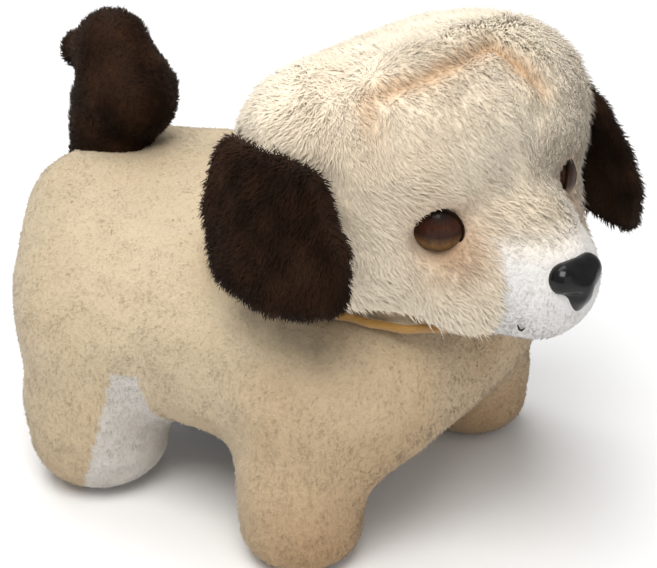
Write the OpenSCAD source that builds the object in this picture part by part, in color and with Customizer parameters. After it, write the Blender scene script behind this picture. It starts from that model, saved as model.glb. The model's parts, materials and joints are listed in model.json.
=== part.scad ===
// Walking plush puppy: a plastic drive unit inside a padded plush coat.
// The puppy faces -Y, its left side is +X and it stands on the plane z = 0.

/* [Body coat] */
// Radius of the rump
rump_r = 27; // [24:0.5:29]
// Radius of the middle of the trunk
trunk_r = 27; // [24:0.5:28]
// Radius of the chest
chest_r = 26; // [24:0.5:27]
// Height of the neck ledge that the head hovers over
ledge_z = 66.5; // [66:0.5:68]

/* [Drive unit] */
// Width of the drive unit
unit_w = 45; // [45:1:46]
// Height of the underside of the drive unit
unit_z0 = 25; // [24.5:0.5:25]
// Height of the top of the drive unit
unit_z1 = 62; // [61:0.5:62]
// Wall of every moulded shell
wall = 2; // [1.6:0.1:2.2]
// Radius of the hip axles and the crank shaft
axle_r = 1.5; // [1.2:0.1:1.8]
// Running clearance of every shaft in its bore
fit = 0.05; // [0.03:0.01:0.1]

/* [Legs] */
// Height of the hip axles
hip_z = 42; // [41:0.5:43]
// Distance from the front to the rear hip axle
hip_span = 65; // [64:0.5:66]
// Distance of the front feet from the centre plane
front_foot_x = 41; // [40:0.5:42]
// Distance of the hind feet from the centre plane
hind_foot_x = 38; // [37:0.5:39]
// Radius of the front feet
front_foot_r = 13.8; // [13:0.1:14]
// Radius of the hind feet
hind_foot_r = 18; // [17:0.1:18.5]
// Swing of the right legs at rest, feet backwards
rest_swing = 5; // [3:1:6]
// Height of the link pins above the hip axles
link_rise = 10; // [10:0.1:10.5]
// Largest swing of a leg to either side of upright
swing_max = 12; // [12:1:13]

/* [Head] */
// Turn of the head at rest, towards the right side
head_turn = -15; // [-18:1:-10]
// Radius of the hollow skull
skull_r = 25; // [24.5:0.5:25]
// Height of the underside of the head above the neck ledge
head_gap = 6; // [5.5:0.5:6]

/* [Tail] */
// Height of the wag shaft
wag_z = 56; // [55:0.5:57]
// Lean of the tail at rest, towards the left side
tail_lean = 7.5; // [5:0.5:9]

/* [Gear train] */
// Tooth module of the gears
tooth_m = 0.5; // [0.5:0.05:0.5]
// Teeth of the three large gears
teeth_big = 28; // [28:1:28]
// Teeth of the pinions
teeth_small = 10; // [10:1:10]
// Play added to each centre distance
mesh_play = 0.15; // [0.1:0.05:0.2]
// Radius of the fixed gear pins
gear_pin_r = 0.8; // [0.7:0.1:0.9]

/* [Hidden] */

$fn = 48;
round_fn = 26;           // facets of the spheres that a hull joins
big = 300;               // larger than anything here, for half spaces
cream = "#d8bd96";
white = "#efeff0";
brown = "#33221a";
shell_grey = "#8f949b";
part_white = "#e8e6df";
steel = "#b4b8bd";
brass = "#c9a44a";

mid_y = 5.75;                        // middle of the puppy's length before it is moved
front_y = -16;                       // front hip axle
hind_y = front_y + hip_span;         // rear hip axle
unit_y0 = -34;                       // front of the drive unit
unit_y1 = 70;                        // back of the drive unit
unit_x = unit_w / 2;
inner_x = unit_x - wall;
arm_x = unit_x + 4;                  // inner face of the leg arms
arm_t = 3;                           // thickness of the leg arms
hub_r = 5.5;                         // hub of a leg arm
axle_end = arm_x + 7.5;
link_x = unit_x + 1.5;               // inner face of the links
link_t = 1.6;
link_pin_r = 1.2;
crank_y = 16;
crank_z = hip_z + link_rise;
throw = link_rise * sin(swing_max);  // crank radius that gives the full swing
crank_turn = asin(sin(rest_swing) / sin(swing_max));
disc_r = 6;
neck = [0, -22, 66];                 // nod pin, and the upright axis the head turns on
post_r = 6;
skull_c = [0, -30, 97];
skull_split = -34;
eye_at = [20.9, -49.7, 93.5];
wag_y = 72;
gear_y = [for (i = [0 : 3]) crank_y + i * (tooth_m * (teeth_big + teeth_small) / 2 + mesh_play)];
plate_x = [-19.5, -4.5];             // outer sides of the right and left gearbox plates
plate_t = 1.5;
spacers = [[8.2, 5.8], [51.5, 5.4], [51.5, -5.4]];   // y, and height above the gears' line
cell_r = 7.15;
cell_l = 49;
cell_x = 7.6;
cell_z = 34.5;
tray_y0 = -10.5;
tray_y1 = 46.5;
screw_sites = [[-24, 31.5], [-8, 56], [49.6, 35], [57.2, 56.6]];
door_screw_y = 48.8;

// ---------- helpers ----------

module along_x(r, x0, x1) {
    translate([x0, 0, 0]) rotate([0, 90, 0]) cylinder(r = r, h = x1 - x0);
}

module along_y(r, y0, y1) {
    translate([0, y1, 0]) rotate([90, 0, 0]) cylinder(r = r, h = y1 - y0);
}

module slab(x0, x1, y0, y1, z0, z1) {
    translate([x0, y0, z0]) cube([x1 - x0, y1 - y0, z1 - z0]);
}

module ball(p, r) {
    translate(p) sphere(r = r, $fn = round_fn);
}

module pair(p, r) {
    for (side = [-1, 1]) ball([side * p[0], p[1], p[2]], r);
}

// Block with rounded upright edges, from plain cubes and cylinders
module round_block(x, y0, y1, z0, z1, r) {
    slab(-x, x, y0 + r, y1 - r, z0, z1);
    slab(-x + r, x - r, y0, y1, z0, z1);
    for (sx = [-1, 1], y = [y0 + r, y1 - r])
        translate([sx * (x - r), y, z0]) cylinder(r = r, h = z1 - z0);
}

// Every part is built about the centre plane and then moved back by mid_y,
// which puts the origin under the middle of the puppy.
module painted(c) {
    color(c) translate([0, -mid_y, 0]) children();
}

module in_head() {
    translate([0, neck[1], 0]) rotate([0, 0, head_turn]) translate([0, -neck[1], 0]) children();
}

module in_tail() {
    translate([0, 0, wag_z]) rotate([0, tail_lean, 0]) translate([0, 0, -wag_z]) children();
}

// A disc or shaft about an X axis through (y, z)
module at_yz(y, z, turn = 0) {
    translate([0, y, z]) rotate([turn, 0, 0]) children();
}

// ---------- gears ----------

// Outline points of one straight-flanked tooth centred on angle a
function tooth(a, pr, n) =
    let (
        root = pr - 1.25 * tooth_m, tip = pr + 0.8 * tooth_m,
        step = 360 / n, wr = 0.31 * step, wp = 0.215 * step, wt = 0.10 * step
    )
    [for (q = [[root, -wr], [pr, -wp], [tip, -wt], [tip, wt], [pr, wp], [root, wr]])
        q[0] * [cos(a + q[1]), sin(a + q[1])]];

// Spur gear about X, with the first tooth towards +Y when turned = 0
module gear(n, x0, x1, turned = 0) {
    pr = tooth_m * n / 2;
    translate([x0, 0, 0]) rotate([90, 0, 90])
        linear_extrude(x1 - x0)
            polygon([for (i = [0 : n - 1]) each tooth(turned + i * 360 / n, pr, n)]);
}

module compound_gear(small_x0, mid_x, big_x1, y) {
    half_step = 180 / teeth_small;
    at_yz(y, crank_z) difference() {
        union() {
            gear(teeth_small, small_x0, mid_x, half_step);
            gear(teeth_big, mid_x, big_x1);
        }
        along_x(gear_pin_r + fit, small_x0 - 1, big_x1 + 1);
    }
}

module motor_pinion() {
    painted(part_white) at_yz(gear_y[3], crank_z) gear(teeth_small, -9.5, -6, 180 / teeth_small);
    painted(steel) at_yz(gear_y[3], crank_z) along_x(0.75, -6, 1);
}

module first_gear() {
    painted(part_white) compound_gear(-12.8, -9, -6.5, gear_y[2]);
}

module second_gear() {
    painted(part_white) compound_gear(-17, -12.8, -10.3, gear_y[1]);
}

module crank_gear() {
    painted(part_white) at_yz(crank_y, crank_z) difference() {
        union() {
            gear(teeth_big, -17, -14);
            along_x(2.1, -14, -9);
        }
        along_x(axle_r, -18, -8);
    }
}

module crank_shaft() {
    painted(steel) at_yz(crank_y, crank_z) along_x(axle_r, -unit_x + 0.1, unit_x - 0.1);
}

// Discs flush in the side walls, with pins half a turn apart
module crank_discs() {
    painted(part_white) for (side = [-1, 1])
        at_yz(crank_y, crank_z, crank_turn + (side < 0 ? 0 : 180)) mirror([side < 0 ? 1 : 0, 0, 0]) {
            difference() {
                along_x(disc_r, inner_x + 0.2, unit_x + 0.2);
                along_x(axle_r, inner_x, unit_x - 0.1);
            }
            translate([0, 0, throw]) along_x(link_pin_r, unit_x + 0.2, unit_x + 1);
        }
}

// ---------- drive unit ----------

module unit_block() {
    round_block(unit_x, unit_y0, unit_y1, unit_z0, unit_z1, 6);
}

module unit_hollow() {
    round_block(inner_x, unit_y0 + wall, unit_y1 - wall, unit_z0 + wall, unit_z1 - wall, 4);
}

module speaker_slots() {
    for (z = [36 : 4 : 52]) slab(-9, 9, unit_y0 - 1, unit_y0 + wall + 1, z, z + 1.8);
}

module chassis_solid() {
    difference() {
        union() {
            difference() {
                unit_block();
                unit_hollow();
            }
            for (side = [-1, 1])                       // lugs that carry the nod pin
                slab(side * 11.5 - 1.5, side * 11.5 + 1.5, -26, -18, unit_z1, 70);
            for (s = screw_sites) at_yz(s[0], s[1]) along_x(2.6, -inner_x - 0.5, inner_x + 0.5);
        }
        for (y = [front_y, hind_y]) at_yz(y, hip_z) along_x(axle_r, -big, big);
        at_yz(crank_y, crank_z) along_x(disc_r + 0.5, -big, big);
        at_yz(neck[1], neck[2]) along_x(axle_r, -big, big);
        translate([0, 0, wag_z]) along_y(axle_r + fit, unit_y1 - 6, unit_y1 + 1);
        slab(-15.2, 15.2, -9.2, 45.2, unit_z0 - 1, unit_z0 + wall + 0.5);   // battery opening
        translate([0, door_screw_y, unit_z0 - 1]) cylinder(r = 1.25, h = 4);
        slab(-4, 4, 54, 64, unit_z0 - 1, unit_z0 + wall + 0.5);           // switch opening
        slab(-3, 3, neck[1] - 5, neck[1] + 5, unit_z1 - wall - 1, unit_z1 + 1);
        for (s = screw_sites) at_yz(s[0], s[1]) {
            along_x(1.1, -unit_x, 12);
            along_x(2.2, -unit_x - 1, -unit_x + 1.6);
        }
        speaker_slots();
    }
}

module chassis_left() {
    painted(shell_grey) intersection() {
        chassis_solid();
        slab(0, big, -big, big, -big, big);
    }
}

module chassis_right() {
    painted(shell_grey) intersection() {
        chassis_solid();
        slab(-big, 0, -big, big, -big, big);
    }
}

module case_screws() {
    painted(steel) for (s = screw_sites) at_yz(s[0], s[1]) difference() {
        union() {
            along_x(1.1, -unit_x + 1.6, 12);
            along_x(2.1, -unit_x + 0.3, -unit_x + 1.6);
        }
        slab(-unit_x, -unit_x + 0.9, -0.3, 0.3, -1.5, 1.5);
        slab(-unit_x, -unit_x + 0.9, -1.5, 1.5, -0.3, 0.3);
    }
}

module hip_axles() {
    painted(steel) for (y = [front_y, hind_y]) at_yz(y, hip_z) {
        along_x(axle_r, -axle_end, axle_end);
        for (side = [-1, 1]) along_x(3, side * (axle_end - 0.4) - 0.5, side * (axle_end - 0.4) + 0.5);
    }
}

module nod_pin() {
    painted(steel) at_yz(neck[1], neck[2]) along_x(axle_r, -13, 13);
}

module gearbox_plate(x0, motor_hole) {
    at_yz(0, crank_z) difference() {
        slab(x0, x0 + plate_t, 6, 54, -7.6, 7.6);
        translate([0, crank_y, 0]) along_x(axle_r + fit, x0 - 1, x0 + plate_t + 1);
        for (i = [1, 2]) translate([0, gear_y[i], 0]) along_x(gear_pin_r, x0 - 1, x0 + plate_t + 1);
        if (motor_hole) translate([0, gear_y[3], 0]) along_x(3.4, x0 - 1, x0 + plate_t + 1);
        for (p = spacers)
            translate([0, p[0], p[1]]) along_x(0.8, x0 - 1, x0 + plate_t + 1);
    }
}

module gearbox_plate_right() { painted(shell_grey) gearbox_plate(plate_x[0], false); }
module gearbox_plate_left() { painted(shell_grey) gearbox_plate(plate_x[1], true); }

// Two gear pins and three spacers that hold the plates apart
module gearbox_pins() {
    x0 = plate_x[0];
    x1 = plate_x[1] + plate_t;
    painted(steel) at_yz(0, crank_z) {
        for (i = [1, 2]) translate([0, gear_y[i], 0]) along_x(gear_pin_r, x0, x1);
        for (p = spacers) translate([0, p[0], p[1]]) {
            along_x(0.8, x0, x1);
            along_x(1.5, x0 + plate_t, x1 - plate_t);
        }
    }
}

module motor_can() {
    painted(steel) at_yz(gear_y[3], crank_z) difference() {
        intersection() {
            along_x(7.2, plate_x[1] + plate_t, 16);
            slab(-big, big, -big, big, -6.6, 6.6);
        }
        along_x(0.8, -4, 2);
    }
}

module motor_end_cap() {
    painted(part_white) at_yz(gear_y[3], crank_z) {
        intersection() {
            along_x(7, 16, 18.4);
            slab(-big, big, -big, big, -6.4, 6.4);
        }
        along_x(2, 18.4, 19.8);
        for (z = [-4, 4]) slab(18.4, 20.2, -1, 1, z - 0.3, z + 0.3);
    }
}

module battery_tray() {
    painted(part_white) difference() {
        slab(-16.5, 16.5, tray_y0, tray_y1, unit_z0 + wall, 43.6);
        slab(-15.2, 15.2, tray_y0 + 1.3, tray_y1 - 1.3, unit_z0, 42.3);
    }
}

// Places the children at both cell bays, one turned end for end
module each_cell() {
    for (side = [-1, 1]) translate([side * cell_x, 18, cell_z]) rotate([0, 0, side < 0 ? 180 : 0]) children();
}

module battery_cells() {
    y0 = 1 - cell_l / 2;
    y1 = 1 + cell_l / 2;
    painted("#2f5f8f") each_cell() along_y(cell_r, y0, y1 - 12);
    painted(brass) each_cell() along_y(cell_r, y1 - 12, y1);
    painted(steel) each_cell() along_y(2.7, y1, y1 + 1.2);
}

module battery_contacts() {
    painted(brass) each_cell() {
        slab(-5, 5, 26.8, 27.2, -5, 5);
        slab(-5, 5, -27.2, -26.8, -5, 5);
        for (i = [0 : 2]) translate([0, -26.5 + i * 1.05, 0]) rotate([90, 0, 0])
            rotate_extrude() translate([4 - i * 0.6, 0]) circle(r = 0.3);
    }
}

module battery_door() {
    painted(shell_grey) difference() {
        union() {
            slab(-16, 16, -11, 52, unit_z0 - 2.4, unit_z0 - 0.3);
            slab(-14.7, 14.7, -8.7, 44.7, unit_z0 - 0.3, unit_z0 + 1.4);
        }
        translate([0, door_screw_y, 0]) {
            cylinder(r = 1.2, h = unit_z0 + 5);
            translate([0, 0, unit_z0 - 3]) cylinder(r = 2.4, h = 1.6);
        }
        for (y = [-8 : 2 : -2]) slab(-6, 6, y, y + 0.9, unit_z0 - 3, unit_z0 - 2);
    }
}

module door_screw() {
    painted(steel) translate([0, door_screw_y, 0]) difference() {
        union() {
            translate([0, 0, unit_z0 - 1.4]) cylinder(r = 1.2, h = 4.4);
            translate([0, 0, unit_z0 - 2.3]) cylinder(r = 2.3, h = 0.9);
        }
        slab(-1.6, 1.6, -0.3, 0.3, unit_z0 - 3, unit_z0 - 1.8);
        slab(-0.3, 0.3, -1.6, 1.6, unit_z0 - 3, unit_z0 - 1.8);
    }
}

module switch_housing() {
    painted("#222222") difference() {
        slab(-7, 7, 52, 66, unit_z0 + wall, unit_z0 + 7);
        slab(-5, 5, 54, 64, unit_z0, unit_z0 + 5.5);
    }
}

module switch_knob() {
    painted("#1a1a1a") {
        slab(-3, 3, 56, 60, unit_z0 - 1.6, unit_z0 + 4.8);
        slab(-4.4, 4.4, 55, 61, unit_z0 + 3, unit_z0 + 5);
    }
}

module circuit_board() {
    painted("#2d6a3e") difference() {
        slab(-19, 19, -25.4, 4, 46, 47.2);
        for (x = [-16, 16], y = [-23, 1]) translate([x, y, 40]) cylinder(r = 1, h = 20);
    }
}

module board_parts() {
    painted("#151515") {
        translate([-6, -12, 47.2]) cylinder(r = 5, h = 1.2);
        slab(4, 10, -10, -4, 47.2, 48.8);
    }
    painted("#3c4a7a") for (p = [[12, -20], [6, -20]]) translate([p[0], p[1], 47.2]) cylinder(r = 2.2, h = 4);
    painted("#c8a878") for (x = [-16 : 4 : 0]) slab(x, x + 1.4, -22, -19, 47.2, 48);
}

module speaker_basket() {
    painted(steel) translate([0, 0, 43]) {
        difference() {
            along_y(14, unit_y0 + wall, unit_y0 + wall + 1.2);
            along_y(11.5, unit_y0, unit_y0 + 5);
        }
        difference() {
            along_y(12.5, unit_y0 + wall + 1.2, unit_y0 + wall + 4);
            along_y(11.5, unit_y0, unit_y0 + wall + 3);
        }
        along_y(7, unit_y0 + wall + 4, unit_y0 + wall + 6.2);
    }
}

module speaker_cone() {
    painted("#2a2a2a") translate([0, unit_y0 + wall + 0.2, 43]) rotate([-90, 0, 0]) rotate_extrude()
        polygon([[0, 1.9], [4, 1.9], [5, 2.2], [11.4, 0.3], [11.4, 0.6], [5, 2.6], [0, 2.4]]);
}

// ---------- plush coat of the trunk ----------

module trunk_form() {
    hull() {
        pair([22, 54, 48.4], rump_r);
        pair([21, 20, 47], trunk_r);
        pair([20, -17, 46], chest_r);
    }
}

// Room for one leg: the round hip and the swinging limb
module leg_room(y, r, reach) {
    for (side = [-1, 1]) {
        at_yz(y, hip_z) along_x(r, side < 0 ? -big : arm_x - 0.2, side < 0 ? -arm_x + 0.2 : big);
        slab(side < 0 ? -big : arm_x - 0.2, side < 0 ? -arm_x + 0.2 : big,
             y - reach, y + reach, -1, hip_z);
    }
}

module body_plush() {
    painted(cream) difference() {
        trunk_form();
        unit_block();
        slab(-arm_x + 0.1, arm_x - 0.1, front_y - 8, hind_y + 8, hip_z - 8, crank_z + 8);   // link rooms
        leg_room(front_y, 17.6, 24);
        leg_room(hind_y, 19.6, 27);
        translate([0, neck[1], ledge_z]) cylinder(r = 53, h = 40);
        translate([0, neck[1], unit_z1 - 1]) cylinder(r = 19.5, h = 40);
        intersection() {
            translate([0, 0, wag_z]) along_y(19, unit_y1 - 5, big);
            slab(-big, big, -big, big, wag_z + 2, big);
        }
        slab(-7, 7, unit_y1 - 1, wag_y + 6, wag_z - 7, wag_z + 4);
        slab(-16.6, 16.6, -11.6, 52.6, 0, unit_z0 + 1);
        slab(-6.5, 6.5, 52, 65, 0, unit_z0 + 1);
    }
}

module collar_ribbon() {
    painted("#c8961e") translate([0, neck[1], ledge_z]) rotate_extrude($fn = 72)
        translate([32.4, 0]) square([1, 2.4]);
}

// ---------- legs ----------
// side: -1 right, +1 left. Each leg is built upright with the hip at the
// origin on the +X side, then swung, mirrored and put on its axle.

function leg_swing(side) = side < 0 ? rest_swing : -rest_swing;

module place_leg(side, y) {
    at_yz(y, hip_z, leg_swing(side)) mirror([side < 0 ? 1 : 0, 0, 0]) children();
}

// The inner side is flat beside the drive unit, and the foot bulges inwards below it
module leg_form(foot_x, foot_r, hip_r) {
    difference() {
        hull() {
            along_x(hip_r, arm_x + arm_t, arm_x + 15, $fn = round_fn);
            along_x(hip_r - 6, arm_x + 15, arm_x + 22, $fn = round_fn);
            ball([foot_x, 0, foot_r - hip_z], foot_r);
            translate([foot_x, 0, -hip_z - 3]) cylinder(r = 0.72 * foot_r, h = 6, $fn = round_fn);
        }
        slab(0, arm_x, -big, big, -27, big);
    }
}

module leg_arm_shape() {
    difference() {
        union() {
            along_x(hub_r, arm_x, arm_x + 6);
            slab(arm_x, arm_x + arm_t, -3, 3, 0, link_rise);
            translate([0, 0, link_rise]) along_x(3, arm_x, arm_x + arm_t);
            slab(arm_x, arm_x + arm_t, -4, 4, -32, 0);
            slab(arm_x, arm_x + 16, -6, 6, -35, -32);
        }
        along_x(axle_r + fit, 0, big);
    }
    translate([0, 0, link_rise]) along_x(link_pin_r, unit_x + 0.7, arm_x);
}

// The front and inner part of a leg, which is cut from the white cloth
module lining_side(foot_x) {
    translate([foot_x, 0, 0]) rotate([0, 0, -30]) translate([-big, -big - 2, -big]) cube([2 * big, big, 2 * big]);
}

module leg_cloth(side, y, foot_x, foot_r, hip_r, lining) {
    intersection() {
        place_leg(side, y) difference() {
            if (lining) intersection() {
                leg_form(foot_x, foot_r, hip_r);
                lining_side(foot_x);
            } else difference() {
                leg_form(foot_x, foot_r, hip_r);
                lining_side(foot_x);
            }
            leg_arm_shape();
            along_x(hub_r, arm_x - 1, axle_end + 0.6);
        }
        slab(-big, big, -big, big, 0, big);
    }
}

module leg_arm_front_right() { painted(part_white) place_leg(-1, front_y) leg_arm_shape(); }
module leg_arm_front_left() { painted(part_white) place_leg(1, front_y) leg_arm_shape(); }
module leg_arm_hind_right() { painted(part_white) place_leg(-1, hind_y) leg_arm_shape(); }
module leg_arm_hind_left() { painted(part_white) place_leg(1, hind_y) leg_arm_shape(); }

module front_cloth(side, lining) {
    painted(lining ? white : cream) leg_cloth(side, front_y, front_foot_x, front_foot_r, 17, lining);
}

module hind_cloth(side, lining) {
    painted(lining ? white : cream) leg_cloth(side, hind_y, hind_foot_x, hind_foot_r, 19, lining);
}

module leg_plush_front_right() { front_cloth(-1, false); }
module leg_plush_front_left() { front_cloth(1, false); }
module leg_plush_hind_right() { hind_cloth(-1, false); }
module leg_plush_hind_left() { hind_cloth(1, false); }
module leg_lining_front_right() { front_cloth(-1, true); }
module leg_lining_front_left() { front_cloth(1, true); }
module leg_lining_hind_right() { hind_cloth(-1, true); }
module leg_lining_hind_left() { hind_cloth(1, true); }

// Bar between the front and hind arms, with an upright slot for the crank pin
module link_bar(side) {
    lever = [-link_rise * sin(leg_swing(side)), link_rise * cos(leg_swing(side))];
    x0 = side < 0 ? -link_x - link_t : link_x;
    translate([0, lever[0], hip_z + lever[1]]) difference() {
        union() {
            translate([x0, front_y, -2.5]) cube([link_t, hip_span, 5]);
            translate([0, crank_y, 0]) along_x(7, x0, x0 + link_t);
            for (y = [front_y, hind_y]) translate([0, y, 0]) along_x(3.4, x0, x0 + link_t);
        }
        for (y = [front_y, hind_y])
            translate([0, y, 0]) along_x(link_pin_r + 0.06, x0 - 1, x0 + link_t + 1);
        slab(x0 - 1, x0 + link_t + 1, crank_y - link_pin_r - 0.1, crank_y + link_pin_r + 0.1, -4, 4);
    }
}

module link_left() { painted(shell_grey) link_bar(1); }
module link_right() { painted(shell_grey) link_bar(-1); }

// ---------- neck and head ----------

module neck_yoke() {
    painted(part_white) translate([0, neck[1], neck[2]]) difference() {
        union() {
            along_x(3.6, -9.6, 9.6);
            cylinder(r = post_r, h = 18.3);
            translate([0, 0, 4.6]) cylinder(r = 9, h = 2);
            slab(-2, 2, -1.5, 1.5, -11, 0);
        }
        along_x(axle_r + fit, -12, 12);
        translate([0, 0, 10]) cylinder(r = 1.3, h = 20);
    }
}

module neck_cap() {
    painted(steel) translate([0, neck[1], neck[2]]) {
        translate([0, 0, 18.3]) cylinder(r = 8.6, h = 1.2);
        translate([0, 0, 11]) cylinder(r = 1.3, h = 7.3);
        translate([0, 0, 19.5]) cylinder(r = 2.8, h = 1.4);
    }
}

// Points an eye's own +Z away from the middle of the skull
module at_eye(side) {
    d = [side * eye_at[0], eye_at[1], eye_at[2]] - skull_c;
    translate(skull_c) rotate([0, acos(d[2] / norm(d)), atan2(d[1], d[0])]) children();
}

module skull() {
    in_head() difference() {
        union() {
            difference() {
                translate(skull_c) sphere(r = skull_r, $fn = 64);
                translate(skull_c) sphere(r = skull_r - wall, $fn = 64);
            }
            translate([0, neck[1], neck[2] + 7]) cylinder(r = 9.5, h = 11);
        }
        translate([0, neck[1], neck[2]]) cylinder(r = post_r + fit, h = 30);
        translate([0, neck[1], neck[2]]) cylinder(r = 10, h = 7);
        for (side = [-1, 1]) at_eye(side) cylinder(r = 2.2, h = 40);
    }
}

module skull_front() {
    painted(part_white) intersection() {
        skull();
        in_head() slab(-big, big, -big, skull_split, -big, big);
    }
}

module skull_back() {
    painted(part_white) intersection() {
        skull();
        in_head() slab(-big, big, skull_split, big, -big, big);
    }
}

module head_form() {
    hull() {
        pair([23, -14, 103], 19.5);
        pair([19, -34, 106.5], 22);
        ball([0, -43, 92], 22);
        pair([22, -26, 86], 19);
    }
}

module head_plush() {
    painted(cream) in_head() difference() {
        head_form();
        translate(skull_c) sphere(r = skull_r, $fn = 64);
        translate([0, neck[1], 0]) cylinder(r = 48, h = ledge_z + head_gap);
        translate([0, neck[1], 0]) cylinder(r = 20, h = neck[2] + 14);
        for (side = [-1, 1]) at_eye(side) cylinder(r = 6, h = 60);
    }
}

module muzzle_form() {
    hull() {
        ball([0, -61.5, 79], 14.5);
        ball([0, -45, 80], 19);
    }
}

module muzzle_plush() {
    painted(white) in_head() difference() {
        muzzle_form();
        head_form();
        translate(skull_c) sphere(r = skull_r, $fn = 64);
        translate([0, neck[1], 0]) cylinder(r = 34, h = ledge_z + head_gap);
        nose_shape();
    }
}

module nose_shape() {
    hull() {
        for (side = [-1, 1]) ball([side * 3.6, -74, 83.6], 2.8);
        ball([0, -75, 79.6], 2.6);
        ball([0, -71, 82], 4);
    }
}

module nose() { painted("#111111") in_head() nose_shape(); }

module eye(side) {
    painted("#3b2414") in_head() at_eye(side) {
        translate([0, 0, skull_r - 4]) cylinder(r = 2.2, h = 4);
        translate([0, 0, skull_r]) cylinder(r = 5.7, h = 2.4);
        intersection() {
            translate([0, 0, skull_r + 2.4 - 5]) sphere(r = 7.6, $fn = 48);
            translate([0, 0, skull_r + 2.4]) cylinder(r = 5.7, h = 6);
        }
    }
}

module eye_right() { eye(-1); }
module eye_left() { eye(1); }

// Hanging flap; splay moves its free edge away from the cheek
module ear(side, splay) {
    painted(brown) in_head() difference() {
        hull() {
            ball([side * 42, -10, 111], 2.4);
            ball([side * 41, -30, 114], 2.4);
            ball([side * (47 + splay), 0, 98], 2.6);
            ball([side * (51 + splay), -8, 80], 2.6);
            ball([side * (52 + splay), -36, 77], 2.6);
            ball([side * (50 + splay), -40, 92], 2.4);
        }
        head_form();
    }
}

module ear_right() { ear(-1, 3); }
module ear_left() { ear(1, 4); }

// ---------- tail ----------

module tail_lever_shape() {
    translate([0, 0, wag_z]) {
        along_y(axle_r, unit_y1 - 9, wag_y + 2);
        along_y(4.5, unit_y1 + 0.4, wag_y + 4);
    }
    slab(-2.5, 2.5, wag_y, wag_y + 4, wag_z, wag_z + 42);
    slab(-2, 2, unit_y1 - 9, unit_y1 - 6.6, wag_z - 9, wag_z + 1.5);
}

module tail_lever() { painted(part_white) in_tail() tail_lever_shape(); }

module tail_plush() {
    painted(brown) in_tail() difference() {
        hull() {
            ball([0, 76, 78], 11);
            ball([0, 71, 95], 15);
            ball([0, 80, 103], 7.5);
        }
        translate([0, 0, wag_z]) along_y(19.5, 0, big);
        tail_lever_shape();
    }
}

chassis_left();
chassis_right();
body_plush();
collar_ribbon();
battery_tray();
battery_cells();
battery_contacts();
motor_can();
motor_end_cap();
gearbox_plate_left();
gearbox_plate_right();
gearbox_pins();
hip_axles();
circuit_board();
board_parts();
speaker_basket();
speaker_cone();
case_screws();
switch_housing();
nod_pin();
battery_door();
door_screw();
switch_knob();
motor_pinion();
first_gear();
second_gear();
crank_gear();
crank_shaft();
crank_discs();
link_left();
link_right();
leg_arm_front_right();
leg_plush_front_right();
leg_lining_front_right();
leg_arm_front_left();
leg_plush_front_left();
leg_lining_front_left();
leg_arm_hind_right();
leg_plush_hind_right();
leg_lining_hind_right();
leg_arm_hind_left();
leg_plush_hind_left();
leg_lining_hind_left();
neck_yoke();
neck_cap();
skull_front();
skull_back();
head_plush();
muzzle_plush();
nose();
eye_right();
eye_left();
ear_right();
ear_left();
tail_lever();
tail_plush();
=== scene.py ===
"""Looks of the walking plush puppy: coat, pile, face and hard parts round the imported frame."""
import json
import math

import bpy
import numpy as np
from mathutils import Matrix, Vector


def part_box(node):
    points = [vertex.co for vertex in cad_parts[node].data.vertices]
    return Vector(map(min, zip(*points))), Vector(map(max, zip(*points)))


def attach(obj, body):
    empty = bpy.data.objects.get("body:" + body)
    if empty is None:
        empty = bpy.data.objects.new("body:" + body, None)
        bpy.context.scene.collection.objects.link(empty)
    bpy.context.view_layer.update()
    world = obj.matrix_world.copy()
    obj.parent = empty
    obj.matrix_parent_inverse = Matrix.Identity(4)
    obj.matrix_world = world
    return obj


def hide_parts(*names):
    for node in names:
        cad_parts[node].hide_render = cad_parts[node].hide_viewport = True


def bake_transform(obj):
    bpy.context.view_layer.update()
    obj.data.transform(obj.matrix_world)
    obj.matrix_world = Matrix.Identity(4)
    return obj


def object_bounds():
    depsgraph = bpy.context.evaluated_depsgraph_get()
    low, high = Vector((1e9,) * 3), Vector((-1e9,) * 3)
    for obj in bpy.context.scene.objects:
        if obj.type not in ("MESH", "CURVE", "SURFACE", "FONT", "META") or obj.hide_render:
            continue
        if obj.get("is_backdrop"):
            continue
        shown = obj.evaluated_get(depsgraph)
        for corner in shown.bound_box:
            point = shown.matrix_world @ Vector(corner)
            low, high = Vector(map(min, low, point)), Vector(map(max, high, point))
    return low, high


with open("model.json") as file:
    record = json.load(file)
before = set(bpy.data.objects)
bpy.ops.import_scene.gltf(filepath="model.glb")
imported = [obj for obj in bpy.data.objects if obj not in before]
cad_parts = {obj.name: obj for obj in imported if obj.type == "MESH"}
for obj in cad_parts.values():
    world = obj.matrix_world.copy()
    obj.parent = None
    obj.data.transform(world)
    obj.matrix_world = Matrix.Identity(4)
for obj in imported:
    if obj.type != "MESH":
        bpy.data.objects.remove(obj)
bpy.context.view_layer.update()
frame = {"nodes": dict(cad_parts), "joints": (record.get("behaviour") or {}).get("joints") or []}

rng = np.random.default_rng(7)

# ---- places, in millimetres, from the frame
TO_M = 0.001


def v3(*xyz):
    return np.array(xyz, float)


def box_mm(node):
    low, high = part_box(node)
    return np.array(low) / TO_M, np.array(high) / TO_M


def centre_mm(node):
    low, high = box_mm(node)
    return (low + high) / 2


def joint_mm(name):
    joint = next(j for j in frame["joints"] if j["name"] == name)
    return np.array(joint["pos_m"]) / TO_M


FRONT_HIP = joint_mm("swing_front_right")
HIND_HIP = joint_mm("swing_hind_right")
NECK = joint_mm("head_turn")
WAG = joint_mm("tail_wag")
LEDGE_Z = box_mm("collar_ribbon")[0][2]
BELLY_Z = box_mm("body_plush")[0][2]
EYE_R = centre_mm("eye_right")
EYE_L = centre_mm("eye_left")
YAW = math.atan2(EYE_L[1] - EYE_R[1], EYE_L[0] - EYE_R[0])
TAIL_LEAN = math.atan2(centre_mm("tail_lever")[0], centre_mm("tail_lever")[2] - WAG[2])


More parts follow.
